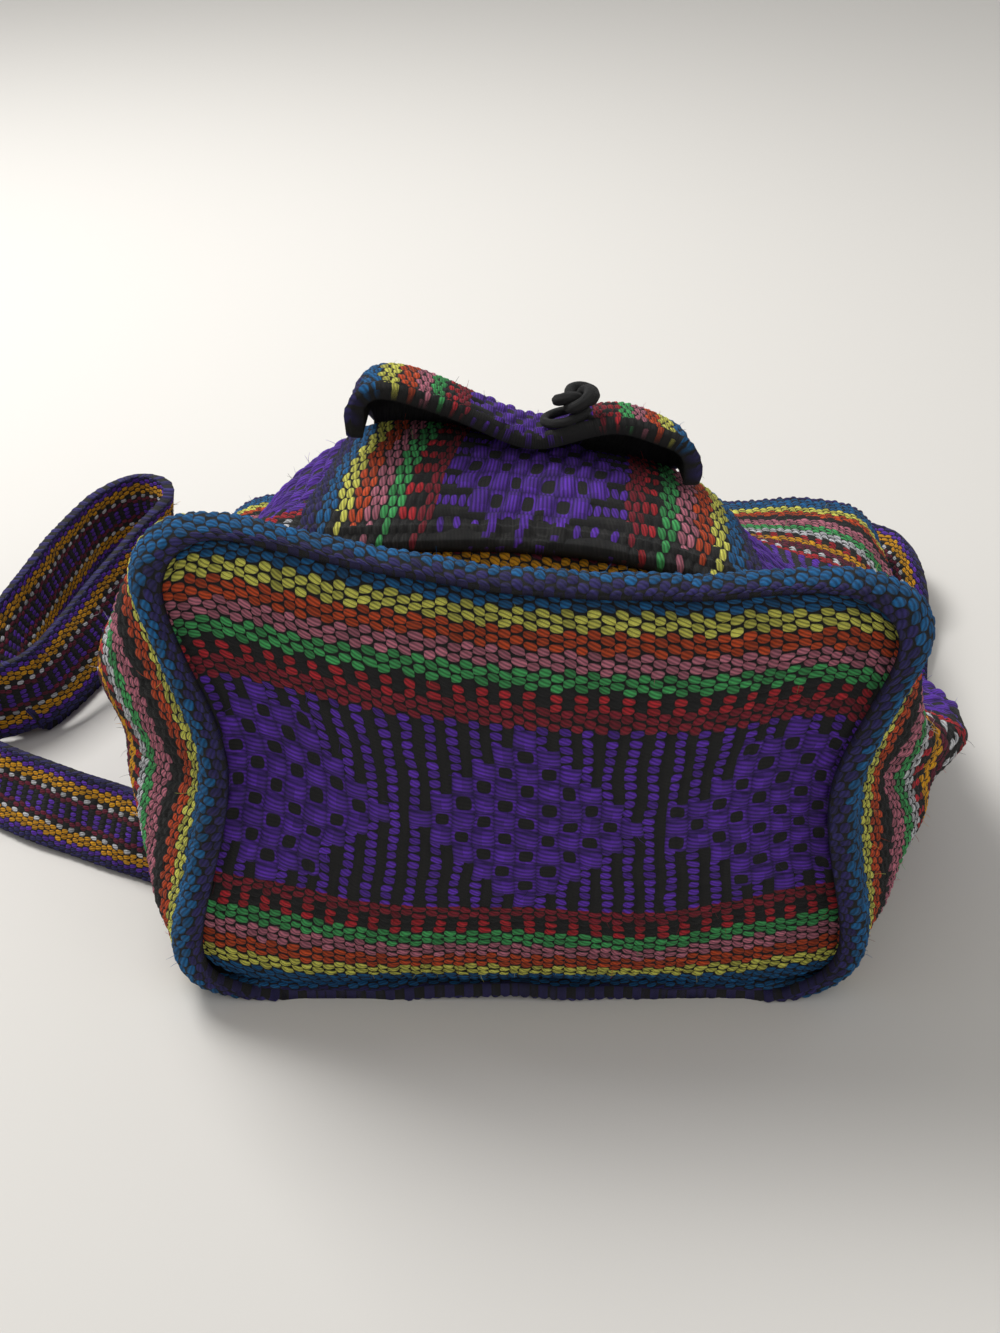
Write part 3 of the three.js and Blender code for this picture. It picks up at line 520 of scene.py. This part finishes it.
# Woven cloth is a fine grid of beads on its face and a plainer grid behind it, joined round its edges.
def weaveCloth(name, node, place, picks, rows, shader, span=None, closed=False, side=1, height=beadHeight,
               thick=cloth["thickness"], relief=cloth["relief"], backFine=False, roll=None,
               seed=1):
    low, high = span or (0, rows)
    perPick, perRow = cloth["finePerPick"], cloth["finePerRow"]
    acrossCount = picks * perPick
    alongCount = (high - low) * perRow
    u = np.linspace(0, picks, acrossCount + 1)
    if closed:
        u = u[:-1]
    u, v = np.meshgrid(u, np.linspace(low, high, alongCount + 1), indexing="ij")
    middle = place(u / picks, v / rows)
    normal = normalsOf(middle, closed, perPick) * side
    wrinkle = ripples(middle, 26, seed) * cloth["wrinkle"]
    bumpU = u + ripples(middle, 11, seed + 1) * cloth["wobble"]
    bumpV = v + ripples(middle, 13, seed + 2) * cloth["wobble"]
    raised = height(bumpU, bumpV) * relief
    if roll is not None:
        rolled, share = roll
        near = np.clip(1 - np.abs(u / picks - rolled) / share, 0, 1)
        raised = raised + np.sin(math.pi * np.clip(near, 0, 1)) * hemSwell
    face = middle + normal * (thick / 2 + wrinkle + raised - relief / 3)[..., None]
    step = (1, 1) if backFine else (perPick, perRow)
    backRaised = raised if backFine else np.zeros_like(raised)
    back = (middle + normal * (wrinkle - thick / 2 - backRaised + (relief / 3 if backFine else 0))[..., None])
    back = back[:: step[0], :: step[1]]
    coords = np.stack([bumpU, bumpV, np.zeros_like(u)], axis=-1)
    backCoords = np.stack([bumpU, bumpV, np.ones_like(u) * (0 if backFine else 1)], axis=-1)
    backCoords = backCoords[:: step[0], :: step[1]]
    front = np.arange(face.shape[0] * face.shape[1]).reshape(face.shape[:2])
    behind = front.size + np.arange(back.shape[0] * back.shape[1]).reshape(back.shape[:2])

    def quads(grid, turned):
        if closed:
            grid = np.concatenate([grid, grid[:1]])
        a, b, c, d = grid[:-1, :-1], grid[1:, :-1], grid[1:, 1:], grid[:-1, 1:]
        order = (a, d, c, b) if turned else (a, b, c, d)
        return np.stack([k.ravel() for k in order], axis=1).tolist()

    def border(fine, coarse, every, turned):
        made = []
        for k in range(len(coarse) - 1):
            ring = [*fine[k * every: k * every + every + 1], coarse[k + 1], coarse[k]]
            made.append([int(i) for i in (ring[::-1] if turned else ring)])
        return made

    flipped = side < 0
    faces = quads(front, flipped) + quads(behind, not flipped)
    for k in (0, -1):
        fine, coarse = front[:, k], behind[:, k]
        if closed:
            fine, coarse = np.append(fine, fine[0]), np.append(coarse, coarse[0])
        faces += border(fine, coarse, step[0], (k == 0) != flipped)
        if not closed:
            faces += border(front[k], behind[k], step[1], (k == -1) != flipped)
    made = np.random.default_rng(seed)
    count = round((high - low) * picks * fibre["share"])
    chosen = made.integers(0, picks, count), made.integers(low, high - 1, count)
    at = chosen[0] * perPick + 1, (chosen[1] - low) * perRow + 1
    free = face[at][:, 2] > fibre["clear"]
    hairs, hairFaces = fuzzThreads(face[at][free], normal[at][free], seed + 3)
    cells = np.stack([chosen[0] + 0.5, chosen[1] + 0.5 - chosen[0] % 2 * 0.5, np.zeros(count)], axis=1)[free]
    first = front.size + behind.size
    faces += [tuple(first + k for k in hairFace) for hairFace in hairFaces]
    points = np.concatenate([face.reshape(-1, 3), back.reshape(-1, 3), hairs])
    weave = np.concatenate([coords.reshape(-1, 3), backCoords.reshape(-1, 3), np.repeat(cells, 9, axis=0)])
    return makeMesh(name, points, faces, weave, shader, node)


# Loose ends of yarn: thin closed threads, each bent once, that stand off a cloth's face.
def fuzzThreads(places, normals, seed):
    made = np.random.default_rng(seed)
    count = len(places)
    lean = normals + made.normal(size=(count, 3)) * fibre["lean"]
    lean /= np.linalg.norm(lean, axis=1, keepdims=True)
    bend = made.normal(size=(count, 3)) * fibre["bend"]
    reach = made.uniform(*fibre["lengths"], (count, 1))
    aside = np.cross(lean, (0.31, 0.17, 0.93))
    aside /= np.linalg.norm(aside, axis=1, keepdims=True)
    other = np.cross(lean, aside)
    rings = []
    for share, width in ((-0.15, 1.0), (0.5, 0.9), (1.0, 0.5)):
        middle = places + lean * reach * share + bend * max(share, 0) ** 2
        for turn in (0, 2.094, 4.189):
            rings.append(middle + (aside * math.cos(turn) + other * math.sin(turn)) * fibre["radius"] * width)
    points = np.stack(rings, axis=1).reshape(-1, 3)
    sides = [(k + a, k + b, k + b + 3, k + a + 3) for k in (0, 3) for a, b in ((0, 1), (1, 2), (2, 0))]
    faces = [tuple(9 * i + k for k in face) for i in range(count) for face in [*sides, (2, 1, 0), (6, 7, 8)]]
    return points, faces


class Value:
    def __init__(self, tree, socket):
        self.tree = tree
        self.socket = socket

    def math(self, operation, *others):
        node = self.tree.nodes.new("ShaderNodeMath")
        node.operation = operation
        for slot, given in zip(node.inputs, (self, *others)):
            if isinstance(given, Value):
                self.tree.links.new(given.socket, slot)
            else:
                slot.default_value = given
        return Value(self.tree, node.outputs[0])

    def __add__(self, other):
        return self.math("ADD", other)

    def __sub__(self, other):
        return self.math("SUBTRACT", other)

    def __rsub__(self, other):
        return self.math("MULTIPLY", -1.0) + other

    def __mul__(self, other):
        return self.math("MULTIPLY", other)

    def __truediv__(self, other):
        return self.math("DIVIDE", other)

    def __pow__(self, other):
        return self.math("POWER", other)

    __radd__ = __add__
    __rmul__ = __mul__

    def floor(self):
        return self.math("FLOOR")

    def fract(self):
        return self.math("FRACT")

    def absolute(self):
        return self.math("ABSOLUTE")

    def less(self, other):
        return self.math("LESS_THAN", other)

    def clamp(self):
        return self.math("MAXIMUM", 0.0).math("MINIMUM", 1.0)


class Graph:
    def __init__(self, name):
        self.material = bpy.data.materials.new(name)
        self.material.use_nodes = True
        self.tree = self.material.node_tree
        self.tree.nodes.clear()

    def node(self, kind, inputs=None, output=0, **settings):
        node = self.tree.nodes.new(kind)
        for key, given in settings.items():
            setattr(node, key, given)
        for key, given in (inputs or {}).items():
            if isinstance(given, Value):
                self.tree.links.new(given.socket, node.inputs[key])
            else:
                node.inputs[key].default_value = given
        return Value(self.tree, node.outputs[output]) if len(node.outputs) else None

    def mix(self, factor, a, b):
        node = self.tree.nodes.new("ShaderNodeMix")
        node.data_type = "RGBA"
        for slot, given in zip((node.inputs[0], node.inputs[6], node.inputs[7]), (factor, a, b)):
            if isinstance(given, Value):
                self.tree.links.new(given.socket, slot)
            elif slot.type == "RGBA":
                slot.default_value = (*given, 1)
            else:
                slot.default_value = given
        return Value(self.tree, node.outputs[2])

    def scaled(self, colour, factor):
        node = self.tree.nodes.new("ShaderNodeVectorMath")
        node.operation = "SCALE"
        self.tree.links.new(colour.socket, node.inputs[0])
        self.tree.links.new(factor.socket, node.inputs["Scale"])
        return Value(self.tree, node.outputs[0])

    def stripes(self, position, colours):
        node = self.tree.nodes.new("ShaderNodeValToRGB")
        ramp = node.color_ramp
        ramp.interpolation = "CONSTANT"
        total = sum(rows for _, rows in colours)
        start = 0
        for k, (colour, rows) in enumerate(colours):
            element = ramp.elements[0] if k == 0 else ramp.elements.new(start / total)
            element.position = start / total
            element.color = (*colour, 1)
            start += rows
        ramp.elements.remove(ramp.elements[-1])
        self.tree.links.new(position.socket, node.inputs[0])
        return Value(self.tree, node.outputs[0])

    def finish(self, colour, height, distance, roughness, sheen):
        bump = self.node("ShaderNodeBump", {"Height": height, "Distance": distance, "Strength": 1.0})
        shader = self.node("ShaderNodeBsdfPrincipled", {
            "Base Color": colour, "Roughness": roughness, "Normal": bump, "Sheen Weight": sheen,
            "Sheen Roughness": 0.6, "Specular IOR Level": 0.3,
        })
        self.node("ShaderNodeOutputMaterial", {"Surface": shader})
        return self.material


def separate(graph, name):
    vector = graph.node("ShaderNodeAttribute", output=1, attribute_name=name)
    return [graph.node("ShaderNodeSeparateXYZ", {"Vector": vector}, output=k) for k in range(3)]


def stripeColours(stripes, second):
    return [(yarns[s[2] if second and len(s) > 2 else s[0]], s[1]) for s in stripes]


# Yarn seen close: an oval bead at each crossing, its plies lying aslant and painted lighter and darker as
# painted highlight and shade, and dark gaps between the beads, where the black yarn is darkened further as
# painted shade.
def clothShader(name, stripes, figure=None, ends=None, turned=0, sheen=0.03):
    graph = Graph(name)
    u, v, behind = separate(graph, "weave")
    rows = countRows(stripes)
    column = u.floor()
    odd = (column * 0.5).fract() * 2
    shifted = v + odd * cloth["stagger"]
    row = shifted.floor()
    cell = graph.node("ShaderNodeCombineXYZ", {"X": column, "Y": row, "Z": behind})
    chance = graph.node("ShaderNodeTexWhiteNoise", {"Vector": cell}, noise_dimensions="3D")
    other = graph.node("ShaderNodeTexWhiteNoise", {"Vector": cell, "W": 3.7}, noise_dimensions="4D")
    fuzz = graph.node("ShaderNodeTexNoise", {"Scale": 1500.0, "Detail": 4.0, "Roughness": 0.75})
    rough = (fuzz - 0.5) * 0.5
    p = u.fract() * 2 - 1 + (other - 0.5) * 0.22
    q = shifted.fract() * 2 - 1 + (chance - 0.5) * 0.24 + p * (0.3 - other * 0.45)
    across = p.absolute() ** 2.6
    bead = 1 - across * 0.72 - q * q * 1.3 + rough
    rounded = bead.clamp() ** 0.5
    position = ((row + 0.5 - odd * 0.5) / rows).clamp()
    colour = graph.mix(odd, graph.stripes(position, stripeColours(stripes, False)),
                       graph.stripes(position, stripeColours(stripes, True)))
    ply = (q * 7.6 + p * (2.2 + other * 2.0) + chance * 6.0).math("SINE")
    height = rounded + ply * 0.22 * rounded
    coverAndGapShade = (bead * 3.2).clamp()
    # Each bead's plies are painted lighter and darker: painted highlight and shade.
    paintedPlyShade = ply * 0.42
    if figure is not None:
        columns, blockRows = (u - figure["centre"]) * 0.5 + 0.5, (v - figure["start"]) * 0.5
        c, r = columns.floor(), blockRows.floor()
        reach = diamondPicks / 2
        away = (((c * 2 + reach) / diamondPicks).fract() * diamondPicks - reach).absolute()
        inside = (away * 0.5 + (r - figure["middle"]).absolute()).less(figure["reach"])
        floats = ((c + r) * 0.5).fract().less(0.25)
        bp, bq = (columns - c) * 2 - 1, (blockRows - r) * 2 - 1
        block = graph.node("ShaderNodeCombineXYZ", {"X": c, "Y": r, "Z": 5.0})
        luck = graph.node("ShaderNodeTexWhiteNoise", {"Vector": block}, noise_dimensions="3D")
        blockPly = (bq * 13.5 + bp * (1.2 + luck * 2.4) + luck * 6.0).math("SINE")
        tips, flanks = bp.absolute() ** 5.0, bq.absolute() ** 4.0
        blockRound = (1 - tips * 0.75 - flanks * 0.85 + rough).clamp()
        holeWide, holeHigh = (bp * 1.5).absolute() ** 3.5, (bq * (1.3 + luck * 0.3)).absolute() ** 3.5
        hole = ((1.25 - holeWide - holeHigh + rough * 2) * 2.5).clamp() * (1 - floats)
        cordRound = (1 - p * p).clamp() ** 0.5
        middle = blockRows.math("GREATER_THAN", 0.0) * blockRows.less(figure["rows"] / 2)
        barHeight = odd * height * 0.6 + (1 - odd) * (cordRound + rough)
        # The cords go to the darkened gap black at their sides: painted shade.
        barCoverAndGapShade = odd * coverAndGapShade + (1 - odd) * (cordRound * 1.2 + rough).clamp()
        floatHeight = (0.3 + blockRound + blockPly * 0.22) * (1 - hole) * (0.55 + floats * 0.45)
        figureColour = graph.mix(inside, graph.mix(odd, yarns["black"], yarns["purple"]), yarns["purple"])
        figureColour = graph.mix(inside * hole, figureColour, yarns["black"])
        colour = graph.mix(middle, colour, figureColour)
        height = middle * (inside * floatHeight + (1 - inside) * barHeight) + (1 - middle) * height
        shape = inside * (0.3 + blockRound * 0.8) + (1 - inside) * barCoverAndGapShade
        coverAndGapShade = middle * shape + (1 - middle) * coverAndGapShade
        # The floats' plies are painted lighter and darker the same way: painted highlight and shade.
        paintedPlyShade = middle * inside * (blockPly * 0.5 - paintedPlyShade) + paintedPlyShade
    if ends is not None:
        low, high = ends
        edge = (row * 0.5).fract() * 2.4
        rolled = (u + edge).less(low + 1.2) if low > 0 else (u - edge).math("GREATER_THAN", high - 1.2)
        dashes = chance.less(hemDashes) * ((row + column) * 0.5).fract().less(0.25)
        inner = v.math("GREATER_THAN", selvedge) * v.less(rows - selvedge)
        # The rolled hem is a lighter black than the cloth's: a painted highlight.
        colour = graph.mix(rolled * (1 - dashes) * inner, colour, blackOf("hem"))
    if turned > 0:
        behind = behind * v.math("GREATER_THAN", turned)
    colour = graph.mix(behind, colour, blackOf("back"))
    shade = (0.72 + chance * 0.66 + other * 0.24) * (1 + paintedPlyShade) * (0.35 + fuzz * 1.3)
    # Where a bead's cover falls off, the colour goes to the black yarn darkened further: painted shade in the
    # gaps between beads.
    colour = graph.scaled(graph.mix(coverAndGapShade.clamp(), blackOf("gap"), colour), shade)
    height = height + fuzz * 0.45
    return graph.finish(colour, height, 0.0011, 0.9, sheen)


def cordShader():
    graph = Graph("twistedCord")
    u, v, _ = separate(graph, "weave")
    ply = (u * 18.85 + v * 6.283).math("SINE")
    fuzz = graph.node("ShaderNodeTexNoise", {"Scale": 1500.0, "Detail": 4.0, "Roughness": 0.75})
    # The cord's black is painted lighter and darker along its plies, as painted highlight and shade, and at
    # random in its fibres.
    colour = graph.mix((ply * 0.35 + fuzz * 1.1 - 0.1).clamp(), blackOf("cordDark"), blackOf("cordLight"))
    return graph.finish(colour, ply * 0.5 + fuzz * 1.4, 0.0009, 0.92, 0.05)


# A cord is a tube whose plies wind round it.
def tube(name, node, path, radius, shader, plies=3, around=18, twist=0.45):
    count = len(path)
    onward = np.roll(path, -1, 0) - np.roll(path, 1, 0)
    onward /= np.linalg.norm(onward, axis=1, keepdims=True)
    lengths = np.concatenate([[0], np.cumsum(np.linalg.norm(np.diff(path, axis=0), axis=1))])
    total = lengths[-1] + np.linalg.norm(path[0] - path[-1])
    turns = max(1, round(total * twist / (2 * math.pi * radius)))
    sideways = np.empty_like(path)
    side = np.cross(onward[0], (0.3, 0.2, 1.0))
    for k in range(count):
        side = side - onward[k] * side.dot(onward[k])
        side = side / np.linalg.norm(side)
        sideways[k] = side
    last = sideways[-1] - onward[0] * sideways[-1].dot(onward[0])
    upward = np.cross(onward[0], sideways[0])
    turned = math.atan2(last.dot(upward), last.dot(sideways[0]))
    angles = np.linspace(0, 2 * math.pi, around, endpoint=False)
    share = (lengths / total)[:, None]
    spin = angles[None] - turned * share
    other = np.cross(onward, sideways)
    wave = np.cos(plies * angles[None] - share * 2 * math.pi * turns)
    reach = radius * (0.94 + 0.1 * np.abs(wave))
    points = path[:, None] + (np.cos(spin) * reach)[..., None] * sideways[:, None]
    points = points + (np.sin(spin) * reach)[..., None] * other[:, None]
    index = np.arange(count * around).reshape(count, around)
    a, b = index, np.roll(index, -1, 0)
    faces = np.stack([k.ravel() for k in (a, b, np.roll(b, -1, 1), np.roll(a, -1, 1))], axis=1).tolist()
    weave = np.stack(np.broadcast_arrays(angles[None] / (2 * math.pi), share * turns, 0.0), axis=-1)
    return makeMesh(name, points.reshape(-1, 3), faces, weave.reshape(-1, 3), shader, node)


def facing(place, w, t):
    w, t = np.atleast_1d(np.asarray(w, float)), np.atleast_1d(np.asarray(t, float))
    middle = place(t, w)
    sideways = place(t, w + 0.01) - place(t, w - 0.01)
    onward = place(np.minimum(t + 0.02, 1), w) - place(np.maximum(t - 0.02, 0), w)
    normal = np.cross(sideways, onward)
    return middle, normal / np.linalg.norm(normal, axis=-1, keepdims=True)


def cordLoop(name, place, across, t, bandLength, shader):
    angle = np.linspace(0, 2 * math.pi, 12, endpoint=False)
    w = 0.5 + (across + cord["loopHalfLength"] * np.cos(angle)) / bandWidth
    at = t + cord["loopHalfWidth"] * np.sin(angle) / bandLength
    middle, normal = facing(place, w, at)
    lift = half + cord["clear"] + cord["radius"]
    path = curve(middle + normal * lift, np.linspace(0, 1, 97)[:-1], True)
    return tube(f"{name}_cord", name, path, cord["radius"], shader)


def toggle(name, place, across, t, shader):
    middle, normal = facing(place, 0.5 + across / bandWidth, t)
    normal = normal[0]
    height = (cord["knotRadius"] / 2 + cord["knotCordRadius"]) * cord["knotFlatness"]
    lift = half + cord["clear"] + cord["radius"] * 2 + cord["knotClear"] + height
    turn = np.linspace(0, 4 * math.pi, 161)[:-1]
    ratio = 1.5 * turn
    radius = cord["knotRadius"] * (2 + np.cos(ratio)) * 0.5
    knot = np.stack([radius * np.cos(turn), radius * np.sin(turn),
                     cord["knotRadius"] * np.sin(ratio) * 0.5 * cord["knotFlatness"]], axis=1)
    first = np.cross(normal, (0.2, 1.0, 0.1))
    first /= np.linalg.norm(first)
    path = middle[0] + normal * lift + knot @ np.stack([first, np.cross(normal, first), normal])
    return tube(f"{name}_cord", name, path, cord["knotCordRadius"] * cord["knotDrawn"], shader)


print("surfaces ready")
wrapShader = clothShader("wovenWrap", wrapStripes, wrapField, turned=turnedRows)
panelShader = clothShader("wovenPanel", panelStripes, panelField)
pocketPicks = round(pocket["height"] / cloth["pickPitch"])
mainLength = mainFlap["reach"] + mainFlap["wrap"]
flapPicks = round(flap["reach"] * flap["pickStretch"] / cloth["pickPitch"])
mainPicks = round(mainLength / cloth["pickPitch"])
pocketHem = pocket["hem"] / pocket["height"]
flapHem = flap["hem"] / flap["reach"]
mainHem = mainFlap["hem"] / mainLength
pocketField, flapField, mainField = [field(countRows(bandEdge), bandMiddleRows, picks / 2)
                                     for picks in (pocketPicks, flapPicks, mainPicks)]
pocketShader = clothShader("wovenPocket", bandStripes, pocketField, ends=(pocketPicks * pocketHem, 0))
flapShader = clothShader("wovenFlap", bandStripes, flapField, ends=(0, flapPicks * (1 - flapHem / 2)))
mainShader = clothShader("wovenMainFlap", bandStripes, mainField, ends=(0, mainPicks * (1 - mainHem)))
strapShader = clothShader("wovenStrap", strapStripes)
blackShader = cordShader()
print("shaders ready")


def wrapPlace(turn, rows):
    return bagPoint(turn, rows * bag["clothHeight"])


clothPieces = []
# The bag's cloth is made in three parts, each of about a third of its rows.
wrapCuts = [0, 31, 61, wrapRows]
for k, (low, high) in enumerate(zip(wrapCuts, wrapCuts[1:])):
    piece = weaveCloth(f"body_cloth_{k + 1}", "body_wrap", wrapPlace, bag["picks"], wrapRows, wrapShader,
                       span=(low, high), closed=True, height=figuredHeight(wrapField))
    clothPieces.append((piece, (bag["picks"] * cloth["pickPitch"], (high - low) * cloth["rowPitch"])))
print("body ready")
panel = weaveCloth("panel_cloth", "bottom_panel", panelPlace, panelPicks, panelRows, panelShader,
                   height=figuredHeight(panelField), seed=5)
clothPieces.append((panel, (bag["baseWidth"], panelRows * cloth["rowPitch"])))
pocketCloth = weaveCloth("pocket_cloth", "front_pocket", pocketPlace, pocketPicks, bandRows, pocketShader,
                         side=-1, roll=(pocketHem / 2, pocketHem / 2), height=figuredHeight(pocketField),
                         seed=9)
clothPieces.append((pocketCloth, (pocket["width"], pocket["height"])))
flapCloth = weaveCloth("flap_cloth", "pocket_flap", flapPlace, flapPicks, bandRows, flapShader, side=-1,
                       roll=(1 - flapHem / 2, flapHem / 2), height=figuredHeight(flapField), seed=13)
clothPieces.append((flapCloth, (bandWidth, flap["reach"] * flap["stretch"])))
mainCloth = weaveCloth("main_flap_cloth", "main_flap", mainFlapPlace, mainPicks, bandRows, mainShader,
                       side=-1, roll=(1 - mainHem / 2, mainHem / 2), height=figuredHeight(mainField), seed=21)
mainFlatLength = mainFlap["reach"] + mainFlap["wrap"] * mainFlap["wrapStretch"]
clothPieces.append((mainCloth, (bandWidth, mainFlatLength)))
fastenings = [("pocket", "flap_cloth", flapPlace, flap, flap["reach"]),
              ("main", "main_flap_cloth", mainFlapPlace, mainFlap, mainLength)]
for kind, clothName, place, values, length in fastenings:
    knot = toggle(f"{kind}_toggle", place, values["knotAside"], values["knotAt"], blackShader)
    loop = cordLoop(f"{kind}_loop", place, values["loopAside"], values["knotAt"], length, blackShader)
for piece, flat in clothPieces:
    flat[0] / 1000
    flat[1] / 1000
print("cloth ready")
for side, stops in (("left", leftStops), ("right", rightStops)):
    place, length = strapPlace(stops)
    picks = round(length / strap["pickPitch"])
    piece = weaveCloth(f"strap_cloth_{side}", f"shoulder_strap_{side}", place, picks, strapRows, strapShader,
                       thick=strap["thickness"], relief=strap["relief"], backFine=True,
                       seed=31 if side == "left" else 47)
    length / 1000
print("straps ready")

floorMesh = bpy.data.meshes.new("floor")
floorMesh.from_pydata([(-4, -3, 0), (4, -3, 0), (4, 5, 0), (-4, 5, 0)], [], [(0, 1, 2, 3)])
floor = bpy.data.objects.new("floor", floorMesh)
bpy.context.collection.objects.link(floor)
floorGraph = Graph("paleFloor")
floorSurface = floorGraph.node("ShaderNodeBsdfPrincipled", {
    "Base Color": (0.6, 0.58, 0.545, 1), "Roughness": 0.8, "Specular IOR Level": 0.2,
})
floorGraph.node("ShaderNodeOutputMaterial", {"Surface": floorSurface})
floorMesh.materials.append(floorGraph.material)

scene = bpy.context.scene
world = bpy.data.worlds.new("studio")
world.use_nodes = True
scene.world = world
tree = world.node_tree
tree.nodes.clear()
path = tree.nodes.new("ShaderNodeLightPath")
seen = Value(tree, path.outputs["Is Camera Ray"])
seen = seen.math("MAXIMUM", Value(tree, path.outputs["Is Glossy Ray"]))
seen = seen.math("MAXIMUM", Value(tree, path.outputs["Is Transmission Ray"]))
strength = seen * (1.0 - light["sky"]) + light["sky"]
background = tree.nodes.new("ShaderNodeBackground")
background.inputs["Color"].default_value = (1, 1, 1, 1)
tree.links.new(strength.socket, background.inputs["Strength"])
output = tree.nodes.new("ShaderNodeOutputWorld")
tree.links.new(background.outputs[0], output.inputs["Surface"])


def areaLight(name, place, size, power):
    lamp = bpy.data.lights.new(name, "AREA")
    lamp.size = size
    lamp.energy = power
    thing = bpy.data.objects.new(name, lamp)
    thing.location = [k / 1000 for k in place]
    bpy.context.collection.objects.link(thing)
    away = np.array(place, float)
    flatReach = math.hypot(away[0], away[1])
    thing.rotation_euler = (math.atan2(flatReach, away[2]), 0, math.atan2(away[0], -away[1]))
    return thing


areaLight("keyLight", light["keyPlace"], light["keySize"], light["keyPower"])
areaLight("fillLight", light["fillPlace"], light["fillSize"], light["fillPower"])

cameraData = bpy.data.cameras.new("camera")
cameraData.lens = camera["lens"]
cameraData.sensor_width = camera["sensor"]
cameraObject = bpy.data.objects.new("camera", cameraData)
cameraObject.location = [k / 1000 for k in camera["place"]]
cameraObject.rotation_euler = (math.radians(camera["pitch"]), 0, 0)
bpy.context.collection.objects.link(cameraObject)
scene.camera = cameraObject
scene.view_settings.view_transform = "Standard"
